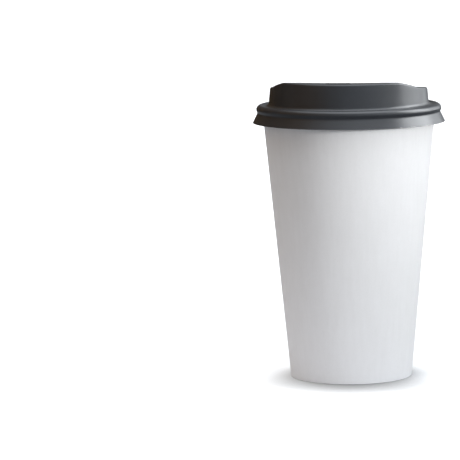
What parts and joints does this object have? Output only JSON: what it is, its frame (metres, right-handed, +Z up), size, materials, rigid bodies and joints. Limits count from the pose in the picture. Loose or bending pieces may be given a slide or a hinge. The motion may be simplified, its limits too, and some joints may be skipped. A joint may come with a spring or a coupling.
{
  "type": "paper coffee cup with sip lid",
  "caption": "Tapered single-wall paper cup for hot drinks, with a rolled rim, a recessed base and a thin plastic lid that presses over the rim and has a raised sip ledge.",
  "frame": {"origin": "on the cup's axis, in the plane that the folded foot stands on", "axes": "+Z up the cup's axis from the foot to the lid; -Y towards the sip opening; +Y towards the wall's glued seam"},
  "size_m": [0.0956, 0.0956, 0.1488],
  "materials": {
    "wall_board": "uncoated white board outside, fine fibre grain, matt",
    "base_board": "white board, matt below and film-coated above",
    "lid_skin": "dark grey thermoformed plastic, glossy"
  },
  "bodies": {
    "cup": {"cup_wall": "wall_board", "cup_base": "base_board"},
    "lid": {"lid": "lid_skin"}
  },
  "joints": [
    {"name": "lid_lift", "type": "slide", "parent": "cup", "child": "lid", "axis": [0, 0, 1], "range_m": [0, 0.03]}
  ]
}
